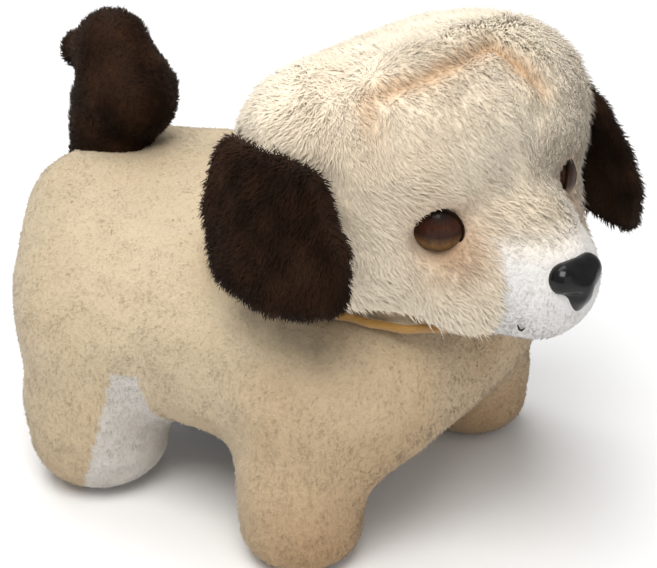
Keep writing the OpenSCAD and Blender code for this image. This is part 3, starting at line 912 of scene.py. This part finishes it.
# ---- body and legs
DOOR_LOW, DOOR_HIGH = box_mm("battery_door")
SWITCH_BACK = box_mm("switch_housing")[1][1]
LEG_TOP = BELLY_Z - 0.2
BACK_Z, UNDER_Z = 62, 30  # heights that part the back, the flanks and the belly
TOP_Z = 60  # all of the coat above this is round the neck or on the back
NECK_HOLE, HEAD_HOLE = 19, 22  # openings in the two coats for the neck
BARE_R, FULL_R = 29.5, 46  # bare round the neck, then fuller pile, to these radii
STEM_HALF = 7  # half width of the opening over the switch


def lining(leg, p):
    """True on the inner cloth of a leg: its inner front on a hind leg, its inner side on a front leg."""
    out = leg.side * (p[:, 0] - leg.foot[0])
    back = p[:, 1] - leg.foot[1]
    if leg.name.startswith("hind"):
        inside = 0.5 * out + 0.866 * back < 1.6 - 0.26 * (p[:, 2] - 8)
    else:
        inside = out < -6
    return inside & (leg.distance(p) < 4.5) & (p[:, 2] < 42)


def white_cloth(p):
    """True where the cloth is white: the inner cloth of the hind legs only."""
    return np.any([lining(leg, p) for leg in LEGS if leg.name.startswith("hind")], axis=0)


def body_colour(p):
    y, z = p[:, 1], p[:, 2]
    # darker and tanner at the chest and low down: partly the coat's own tan, partly painted shade where
    # the top light falls off and the head shades the chest
    front = 1 - ramp(y, FRONT_HIP[1] - 14, FRONT_HIP[1] + 22)
    low = 1 - ramp(z, 6, 58)
    c = mixed(CREAM, TAN_AND_SHADE, 0.16 * low + 0.34 * front * (1 - ramp(z, 52, 72)) + 0.12 * noise(p, 17, 3))
    # painted shade deepening towards the feet, most on the front legs, over their own tan
    c = mixed(c, DEEP_TAN_AND_SHADE, 0.34 * (1 - ramp(z, 2, 32)) * (0.35 + 0.65 * front))
    # painted shade in the groove of the rump seam
    c = mixed(c, TAN_AND_SHADE, 0.25 * rump_seam(p) / SEAM_DEPTH)
    c = np.where(white_cloth(p)[:, None], LINING_WHITE, c)
    return c * (1 + 0.025 * noise(p, 7, 5))[:, None]


def body_lie(p):
    down = 1 - ramp(p[:, 2], 22, 62)
    return np.stack([np.zeros(len(p)), 1 - 0.85 * down, -0.25 - 1.1 * down], 1)


def body_density(p):
    """None round the neck, where it would rub on the head."""
    return np.where((off_neck(p) < BARE_R) & (p[:, 2] > TOP_Z), 0.0, 1.0)


def body_length(p):
    """Fuller on the back below the head."""
    return np.where((off_neck(p) < FULL_R) & (p[:, 2] > BACK_Z), 1.3, 1.0)


def leg_length(p):
    return np.where(p[:, 2] < 1.2, 0.5, 1.0)


def off_the_sole(p):
    return (p[:, 2] > 0.6) * 1.0


BODY_NAP = dict(width=0.25, lie=body_lie, wild=0.5, clump=2.5, root_shade=0.82, softness=0.9, uneven=0.09)
body_skin = skin_of(body_field, (-62, -56, -3), (62, 84, 82), 1.5)
body_skin = body_skin.moved(0.45 * noise(body_skin.verts, 13, 1) * ramp(body_skin.verts[:, 2], 2, 12))
mid = body_skin.centres()
mx, my, mz = mid.T
opening = (np.abs(mx) < DOOR_HIGH[0] + 1) & (my > DOOR_LOW[1] - 1) & (my < DOOR_HIGH[1] + 1)
opening |= (np.abs(mx) < STEM_HALF) & (my > DOOR_HIGH[1] - 2) & (my < SWITCH_BACK + 1)
opening &= mz < UNDER_Z
opening |= (off_neck(mid) < NECK_HOLE) & (mz > TOP_Z)
opening |= (tail_field(tail_local(mid)) < -1.7) & (tail_local(mid)[:, 2] > 10)
low_part = mz < LEG_TOP
trunk = body_skin.part(~opening & ~low_part)
padded_skin("coat_trunk", trunk, PLUSH_SKIN, body_colour, "chassis", ("body_plush",))
tx, _, tz = trunk.centres().T
flank = (tz <= BACK_Z) & (tz > UNDER_Z)
PANELS = {"back": tz > BACK_Z, "flank_right": flank & (tx < 0), "flank_left": flank & (tx >= 0),
          "belly": tz <= UNDER_Z}
for panel_number, (word, faces) in enumerate(PANELS.items()):
    pile_piece("pile_" + word, trunk.part(faces), PLUSH_PILE, body_colour, "chassis", "plush_cream",
               per_mm2=2.0, length=body_length, density=body_density, lean=0.85, seed=2 + panel_number,
               **BODY_NAP)

for leg_number, leg in enumerate(LEGS):
    own = low_part & ~opening & (mx * leg.side > 0)
    own &= (my < LOIN[1]) if leg.name.startswith("front") else (my >= LOIN[1])
    side_skin = body_skin.part(own)
    white = lining(leg, side_skin.centres())
    body = "leg_" + leg.name
    rule = ("chassis", body, v3(leg.foot[0], leg.hip[1], LEG_TOP + 0.3), v3(leg.foot[0], leg.hip[1], 4))
    for cloth, keep, slot in (("coat", ~white, "plush_cream"), ("lining", white, "plush_white")):
        part = side_skin.part(keep)
        node = ("leg_plush_" if cloth == "coat" else "leg_lining_") + leg.name
        padded_skin(cloth + "_" + leg.name, part, PLUSH_SKIN, body_colour, rule, (node,))
        pile_piece("pile_" + cloth + "_" + leg.name, part, PLUSH_PILE, body_colour, rule, slot,
                   per_mm2=2.0 if cloth == "coat" else 1.5, length=leg_length, density=off_the_sole,
                   lean=0.87, seed=11 + leg_number, **BODY_NAP)


# ---- head
def blaze_half(z):
    """Half width of the white face patch at a height."""
    return np.where(z > 80, 15.5 - 0.2 * (z - 80), 15.5 - 0.04 * (80 - z))


def blaze(q):
    """How white the face is at points of the head's frame: the muzzle, fading out below the eyes."""
    x, y, z = q.T
    half = blaze_half(z)
    across = ramp(half - np.abs(x), -0.6, 0.6 + 2.4 * ramp(z, 84, 94))
    return across * (1 - ramp(z, 85, 98)) * (y < -26)


def head_colour_local(q):
    # painted shade along the forehead folds, strongest in the crease
    fold_shade = np.exp(-((fold_distance(q) / 3.2) ** 2))
    c = mixed(CREAM_HEAD, TAN_HEAD_AND_SHADE, 0.10 + 0.12 * noise(q, 14, 21))
    c = mixed(c, TAN_HEAD_AND_SHADE, 0.75 * fold_shade)
    # painted shade round each sunken eye and below it, towards the nose
    for out in EYE_OUT:
        eye = SKULL_C + out * EYE_REACH
        inner = eye + v3(-0.35 * np.sign(out[0]) * 9, -4, -6)
        for spot, dim, most in ((eye, v3(0.5, 0.4, 0.32), 0.75), (inner, v3(0.62, 0.52, 0.42), 0.6)):
            far = np.linalg.norm(q - spot, axis=1)
            c = mixed(c, TAN_HEAD_AND_SHADE * dim, most * np.exp(-((far / 8.0) ** 2)))
    c = mixed(c, WHITE, blaze(q))
    return c * (1 + 0.04 * noise(q, 5, 23))[:, None]


def head_colour(p):
    return head_colour_local(head_local(p))


def head_lie(p):
    """Forwards and down over the face, down over the cheeks and the nape."""
    q = head_local(p)
    face = 1 - ramp(q[:, 1], -22, 2)
    flow = np.stack([-0.35 * np.sign(q[:, 0]) * face, 0.35 - 1.0 * face, -0.9 + 0.25 * face], 1)
    return turned(flow, YAW, v3(0, 0, 0))


def head_length(p):
    q = head_local(p)
    x, y, z = q.T
    long = 3.3 - 0.7 * ramp(y, -5, 15)
    forehead = bump(x, -12, 20) * bump(y, -26, 8) * bump(z, 121, 8)
    long = long * (1 - 0.45 * forehead)
    for out in EYE_OUT:
        far = np.linalg.norm(q - SKULL_C - out * 29, axis=1)
        long = long * (0.3 + 0.7 * ramp(far, 5, 13))
    long = long * (1 - 0.6 * np.exp(-((fold_distance(q) / 2.5) ** 2)))
    white = blaze(q)
    return long * (1 - white) + 0.9 * white


def head_density(p):
    q = head_local(p)
    keep = np.ones(len(q))
    for out in EYE_OUT:
        along, radius = from_eye_axis(q, out)
        keep[(along > 10) & (radius < EYE_RADIUS + 0.4)] = 0
    keep[np.linalg.norm((q - NOSE_C) * v3(1, 0.7, 1.05), axis=1) < 6.8] = 0
    keep[(np.hypot(q[:, 0], q[:, 1]) < UNDER_HEAD_R + 1) & (q[:, 2] < HEAD_FLOOR + 2.5)] = 0
    return keep


NOSE_C = head_local(centre_mm("nose"))
head_raw = skin_of(head_field, (-52, -62, 61), (52, 36, 133), 1.5)
depth = 0.7 * noise(head_raw.verts, 12, 31) + 0.35 * noise(head_raw.verts, 5, 32)
depth = depth * (1 - 0.8 * blaze(head_raw.verts)) * ramp(head_raw.verts[:, 2], HEAD_FLOOR, HEAD_FLOOR + 5)
fold_d = fold_distance(head_raw.verts)
behind = ramp(head_raw.verts[:, 1], -19, -13) * (head_raw.verts[:, 2] > 118)
depth = depth - 1.9 * np.exp(-((fold_d / 2.4) ** 2)) + 0.9 * behind * np.exp(-((fold_d / 9) ** 2))
head_raw = head_raw.moved(depth)
hq = head_raw.centres()
head_skin = Skin(head_world(head_raw.verts), head_raw.faces)
hole = (np.hypot(hq[:, 0], hq[:, 1]) < HEAD_HOLE) & (hq[:, 2] < HEAD_FLOOR + 1.5)
for out in EYE_OUT:
    along, radius = from_eye_axis(hq, out)
    hole |= (along > 10) & (along < EYE_REACH + 1.5) & (radius < EYE_RADIUS - 1.2)
is_muzzle = (np.abs(hq[:, 0]) < blaze_half(hq[:, 2])) & (hq[:, 1] < -30) & (hq[:, 2] < 92)
face = head_skin.part(~hole & ~is_muzzle)
snout = head_skin.part(~hole & is_muzzle)
padded_skin("coat_head", face, PLUSH_SKIN, head_colour, "head", ("head_plush",))
padded_skin("coat_muzzle", snout, PLUSH_SKIN, head_colour, "head", ("muzzle_plush",))
fq = head_local(face.centres())
HEAD_PANELS = {}
for side, word in ((-1, "right"), (1, "left")):
    half = fq[:, 0] * side > 0
    crown = half & (fq[:, 2] > 112) & (fq[:, 1] > -16)
    nape = half & ~crown & (fq[:, 1] > 2)
    brow = half & ~crown & ~nape & (fq[:, 2] > 102)
    HEAD_PANELS["crown_" + word] = crown
    HEAD_PANELS["nape_" + word] = nape
    HEAD_PANELS["brow_" + word] = brow
    HEAD_PANELS["cheek_" + word] = half & ~crown & ~nape & ~brow
for number, (word, faces) in enumerate(HEAD_PANELS.items()):
    pile_piece("pile_" + word, face.part(faces), PLUSH_PILE, head_colour, "head", "plush_cream",
               per_mm2=3.2, length=head_length, width=0.29, lie=head_lie, density=head_density,
               lean=0.93, wild=0.2, clump=5.0, root_shade=0.92, uneven=0.03, softness=0.94,
               seed=21 + number)
pile_piece("pile_muzzle", snout, PLUSH_PILE, head_colour, "head", "plush_white",
           per_mm2=3.5, length=head_length, width=0.25, root_shade=0.92, uneven=0.02, softness=0.93,
           lie=lambda p: p - head_world(NOSE_C), density=head_density, lean=0.9, wild=0.25, clump=3.0,
           seed=31)


# ---- ears and tail
def brown_colour(p):
    return mixed(BROWN, BROWN_TIP, 0.25 + 0.5 * noise(p, 6, 41)) * (1 + 0.1 * noise(p, 2, 43))[:, None]


def ear_lie(p):
    """Down the ear, spreading a little towards its two edges."""
    q = head_local(p)
    flow = np.stack([np.zeros(len(q)), 0.018 * (q[:, 1] + 2), -np.ones(len(q))], 1)
    return turned(flow, YAW, v3(0, 0, 0))


for side, word in ((-1, "right"), (1, "left")):
    near, far = sorted((34 * side, 62 * side))
    raw = skin_of(ear_field(side), (near, -36, 65), (far, 32, 120), 1.25)
    raw = raw.moved(0.35 * noise(raw.verts, 8, 45 + side))
    ear_skin = Skin(head_world(raw.verts), raw.faces)
    ear = quad_object("ear_skin_" + word, ear_skin.verts, ear_skin.faces, BROWN_SKIN)
    set_colours(ear.data, brown_colour(ear_skin.verts))
    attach(ear, "head")
    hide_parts("ear_" + word)
    pile_piece("pile_ear_" + word, ear_skin, BROWN_PILE, brown_colour, "head", "plush_brown",
               per_mm2=3.6, length=even(2.2), width=0.30, lie=ear_lie, lean=0.85,
               wild=0.4, clump=3.0, root_shade=0.6, uneven=0.14, seed=51 + side)

raw = skin_of(tail_field, (-18, -20, -10), (18, 26, 62), 1.25)
raw = raw.moved(0.4 * noise(raw.verts, 8, 61))
tail_skin = Skin(tail_world(raw.verts), raw.faces)
tail_rule = ("chassis", "tail", WAG + v3(0, 0, 14), WAG + v3(0, 0, 27))
stub = tail_skin.part(tail_local(tail_skin.centres())[:, 2] > -6)
padded_skin("coat_tail", stub, BROWN_SKIN, brown_colour, tail_rule, ("tail_plush",))
pile_piece("pile_tail", stub, BROWN_PILE, brown_colour, tail_rule, "plush_brown",
           per_mm2=3.2, length=even(1.5), width=0.36,
           lie=lambda p: np.tile(v3(0, 0.1, 1), (len(p), 1)), lean=0.7, wild=0.7, clump=2.5,
           density=lambda p: (p[:, 2] > 70) * 1.0, root_shade=0.6, uneven=0.14, seed=63)


# ---- face parts, collar and neck sleeve
def lathe(name, profile, material, around=64, wave=None):
    """A ring or dome turned about local Z from (radius, height) points in mm; the profile runs closed."""
    turn = np.linspace(0, 2 * math.pi, around, endpoint=False)
    profile = np.array(profile, float)
    count = len(profile)
    swell = np.zeros(around) if wave is None else wave(turn)
    r = profile[:, 0][None, :] + swell[:, None]
    height = np.broadcast_to(profile[:, 1], r.shape)
    verts = np.stack([r * np.cos(turn)[:, None], r * np.sin(turn)[:, None], height], 2).reshape(-1, 3)
    i = np.arange(around)[:, None] * count
    j = (np.arange(around)[:, None] + 1) % around * count
    k = np.arange(count)[None, :]
    n = (np.arange(count)[None, :] + 1) % count
    faces = np.stack([i + k, j + k, j + n, i + n], 2).reshape(-1, 4)
    return quad_object(name, verts, faces, material)


def aim(obj, place, out):
    """Stands local +Z along out, with local +Y as upright as it can be."""
    z = unit(out[None])[0]
    x = unit(np.cross(v3(0, 0, 1), z)[None])[0]
    y = np.cross(z, x)
    obj.matrix_world = Matrix([[x[0], y[0], z[0], place[0] * TO_M], [x[1], y[1], z[1], place[1] * TO_M],
                               [x[2], y[2], z[2], place[2] * TO_M], [0, 0, 0, 1]])
    return obj


def dome_profile(radius, height, base, steps=14):
    """From the pole down a spherical cap, then in along a flat base."""
    ball = (radius ** 2 + height ** 2) / (2 * height)
    half = math.asin(min(radius / ball, 1))
    cap = [(ball * math.sin(half * k / steps), ball * math.cos(half * k / steps) - ball + height)
           for k in range(steps + 1)]
    cap[0] = (0.02, height)
    return cap[::-1][:-1] + [(0.02, height), (0.02, -base), (radius - 0.3, -base), (radius, -base + 0.3)]


EYE_GLASS = eye_glass()
# a thin dark ring round each eye: painted shade in the crevice where the eye meets the plush
EYE_EDGE_SHADE = moulded("eye_rim", "1d0f06", 0.7, 900.0, 0.02, specular_ior_level=0.1)
skull_world = head_world(SKULL_C)
for out, word in zip(EYE_OUT, ("right", "left")):
    way = head_world(SKULL_C + out) - skull_world
    seat = skull_world + way * EYE_REACH
    dome = dome_profile(EYE_RADIUS - 0.1, 3.1, 2.0)[::-1]
    eye = aim(lathe("eye_dome_" + word, dome, EYE_GLASS), seat, way)
    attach(eye, "head")
    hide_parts("eye_" + word)
    # the dark ring of painted shade round the eye's edge
    ring = [(EYE_RADIUS + 0.2 + 0.3 * math.cos(a), 0.3 * math.sin(a) - 0.1)
            for a in np.linspace(0, 2 * math.pi, 12, endpoint=False)]
    rim = aim(lathe("eye_rim_" + word, ring, EYE_EDGE_SHADE), seat, way)
    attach(rim, "head")


def nose_field(q):
    """Moulded nose: two wings, a rounded bridge and a lip, with nostrils and a groove pressed in."""
    d = hull(q, pair(2.9, -0.6, 1.6, 2.9) + [(0, -1.6, 0.2, 3.0)])
    d = join(d, hull(q, [(0, -1.4, -1.5, 2.8), (0, -0.8, -3.4, 2.2)]), 0.8)
    d = join(d, ellipsoid(q, (0, 3.2, 0.2), (3.6, 5, 3.6)), 1.2)
    for side in (-1, 1):
        d = carve(d, cone(q, (side * 2.1, -4.2, -1.0), (side * 4.6, -2.2, -1.5), 0.75, 1.15), 0.6)
    d = carve(d, cone(q, (0, -5.2, -1.2), (0, -3.4, -5.4), 0.35, 0.5), 0.5)
    return carve(d, cone(q, (-1.2, -4.9, 2.6), (1.2, -4.9, 2.6), 0.5, 0.5), 1.0)


NOSE_SCALE = 1.3
raw = skin_of(nose_field, (-8, -7, -8), (8, 9, 7), 0.36)
nose = quad_object("nose_cap", raw.verts * NOSE_SCALE, raw.faces, nose_gloss())
nose_at = head_world(NOSE_C + v3(0, -0.6, 0.6))
nose.matrix_world = Matrix.Translation(Vector(nose_at * TO_M)) @ Matrix.Rotation(YAW, 4, "Z")
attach(nose, "head")
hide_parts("nose")


def tube(name, points, radius, material, sides=8):
    """A round thread along some points, tapered to its ends."""
    curve = bpy.data.curves.new(name, "CURVE")
    curve.dimensions = "3D"
    curve.bevel_depth = radius * TO_M
    curve.bevel_resolution = sides // 4
    curve.use_fill_caps = True
    spline = curve.splines.new("POLY")
    spline.points.add(len(points) - 1)
    for i, p in enumerate(points):
        spline.points[i].co = (*(np.asarray(p) * TO_M), 1)
        spline.points[i].radius = 0.45 if i in (0, len(points) - 1) else 1.0
    return new_object(name, curve, material)


def on_head(q, lift):
    """A point of the head's frame, set on the skin and lifted off it."""
    p = np.array([q], float)
    for _ in range(12):
        g = unit(gradient(head_field, p))
        p = p - head_field(p)[:, None] * g
    return head_world((p + lift * unit(gradient(head_field, p)))[0])


THREAD = moulded("thread_dark", "1d1714", 0.6, 2500.0, 0.08)
for side, word in ((-1, "right"), (1, "left")):
    places = [(side * (10.6 + 0.35 * k), -46.4 + 0.4 * k, 72.2 + 0.3 * k) for k in range(4)]
    points = [on_head(q, 0.9 if 0 < k < 3 else 0.1) for k, q in enumerate(places)]
    stitch = tube("mouth_stitch_" + word, points, 0.32, THREAD)
    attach(stitch, "head")

COLLAR_LOW, COLLAR_HIGH = box_mm("collar_ribbon")
COLLAR_R = (COLLAR_HIGH[0] - COLLAR_LOW[0]) / 2
band_low, band_high = COLLAR_LOW[2] - 0.3, COLLAR_HIGH[2] - 0.4
band = [(COLLAR_R + 0.5, band_low), (COLLAR_R + 1.1, band_low + 0.3), (COLLAR_R + 1.1, band_high - 0.3),
        (COLLAR_R + 0.5, band_high), (COLLAR_R, band_high - 0.2), (COLLAR_R, band_low + 0.2)]
collar = lathe("collar_band", band, ribbon_weave(), 160,
               lambda a: 0.5 * np.sin(5 * a + 1) + 0.3 * np.sin(11 * a) + 0.25 * np.sin(23 * a))
AT_NECK = Matrix.Translation(Vector(NECK_AXIS * TO_M))
collar.matrix_world = AT_NECK
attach(collar, "chassis")
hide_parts("collar_ribbon")

SLEEVE_R = COLLAR_R - 3.5
SLEEVE_Z = (LEDGE_Z - 2, LEDGE_Z + 1, LEDGE_Z + 4, HEAD_FLOOR + 1.5)
sleeve_profile = [(SLEEVE_R + r, z) for r, z in zip((0.6, 1.4, 1.2, 0.4), SLEEVE_Z)]
sleeve_profile += [(SLEEVE_R + r, z) for r, z in zip((-0.6, 0.1, 0.3, -0.5), SLEEVE_Z[::-1])]
sleeve = lathe("neck_sleeve", sleeve_profile, PLUSH_SKIN, 144, lambda a: 0.45 * np.sin(24 * a))
sleeve.matrix_world = AT_NECK
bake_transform(sleeve)
set_colours(sleeve.data, np.tile(CREAM * 0.85, (len(sleeve.data.vertices), 1)))


# ---- finishes of the parts that come from the CAD
FINISHES = {
    "shell_grey": moulded("shell_plastic", "8f949b", 0.45),
    "part_white": moulded("acetal", "e4e1d8", 0.38),
    "steel": metal("steel_drawn", "b4b8bd", 0.28),
    "brass": metal("brass_strip", "c9a44a", 0.25),
    "cell_blue": cell_wrap(),
    "board_green": solder_mask(),
    "black_plastic": moulded("black_plastic", "1c1c1e", 0.4),
    "nose_black": nose_gloss(),
    "eye_amber": EYE_GLASS,
    "ribbon_gold": moulded("ribbon_core", "c99a3c", 0.6),
    "plush_cream": PLUSH_SKIN,
    "plush_white": PLUSH_SKIN,
    "plush_brown": BROWN_SKIN,
}
for node in frame["nodes"].values():
    for spot in node.material_slots:
        wanted = spot.material.name.split(".")[0] if spot.material else ""
        spot.material = FINISHES.get(wanted, FINISHES["part_white"])


# ---- floor, light and camera
def area_light(name, place, energy, size, colour=(1, 1, 1)):
    light = bpy.data.lights.new(name, "AREA")
    light.energy = energy
    light.size = size
    light.color = colour
    obj = new_object(name, light)
    obj.location = place
    obj.rotation_mode = "QUATERNION"
    obj.rotation_quaternion = (Vector((0, 0, 0.06)) - Vector(place)).to_track_quat("-Z", "Y")


low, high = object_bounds()
FLOOR_SIZE = 6.0
corners = np.array([(-1, -1, 0), (1, -1, 0), (1, 1, 0), (-1, 1, 0)]) * FLOOR_SIZE / 2 / TO_M
floor_mesh = new_mesh("floor", corners, [0, 1, 2, 3], [4], smooth=False)
floor = new_object("floor", floor_mesh, pale_floor())
floor.location.z = min(low.z, 0.0) - 0.0002
floor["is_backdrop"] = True

area_light("key", (-0.45, -0.15, 0.95), 9.0, 0.6, (1.0, 0.985, 0.96))
area_light("fill", (-0.5, -0.9, 0.35), 1.6, 0.9, (0.97, 0.98, 1.0))
area_light("top", (0.25, 0.35, 0.9), 5.0, 0.8)
world = bpy.data.worlds.new("studio")
world.use_nodes = True
world.node_tree.nodes["Background"].inputs["Color"].default_value = (0.95, 0.97, 1.0, 1)
world.node_tree.nodes["Background"].inputs["Strength"].default_value = 0.42
bpy.context.scene.world = world
bpy.context.scene.view_settings.view_transform = "Standard"

VIEW_TURN = math.radians(-57.07)
VIEW_RISE = math.radians(28.35)
VIEW_FAR = 0.5209
LENS = 111.2
AIM = Vector((0, -0.0024, 0.0534))
back = Vector((math.sin(VIEW_TURN) * math.cos(VIEW_RISE), -math.cos(VIEW_TURN) * math.cos(VIEW_RISE),
               math.sin(VIEW_RISE)))
camera_data = bpy.data.cameras.new("camera")
camera_data.lens = LENS
camera_data.sensor_width = 36.0
camera_data.clip_start = 0.01
camera = new_object("camera", camera_data)
camera.location = AIM + back * VIEW_FAR
camera.rotation_mode = "QUATERNION"
camera.rotation_quaternion = (-back).to_track_quat("-Z", "Y")
bpy.context.scene.camera = camera

low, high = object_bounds()
